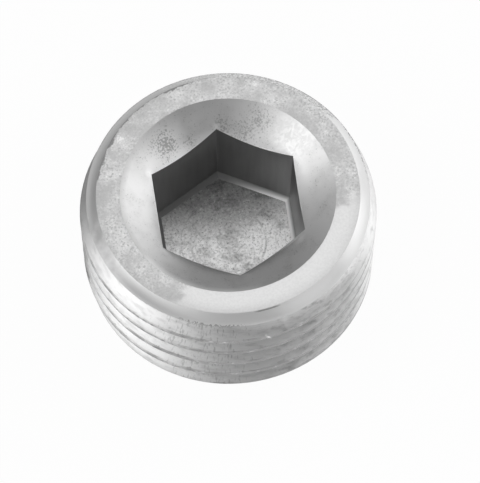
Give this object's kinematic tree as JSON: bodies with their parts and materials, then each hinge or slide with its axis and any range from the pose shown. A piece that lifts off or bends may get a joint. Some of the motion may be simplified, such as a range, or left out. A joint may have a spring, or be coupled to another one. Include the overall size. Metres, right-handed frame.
{
  "type": "hex socket plug",
  "caption": "Short taper-threaded pipe plug with an internal hexagon socket, closed at the small end.",
  "frame": {"origin": "centre of the small end face, on the axis of the thread", "axes": "+Z along the axis from the small end to the socket, +X square to one pair of socket flats"},
  "size_m": [0.0209, 0.0209, 0.01],
  "materials": {
    "turned_steel": "bare turned steel, satin, with a smooth thread and lightly speckled faces"
  },
  "bodies": {
    "root": {"plug_body": "turned_steel"}
  },
  "joints": []
}
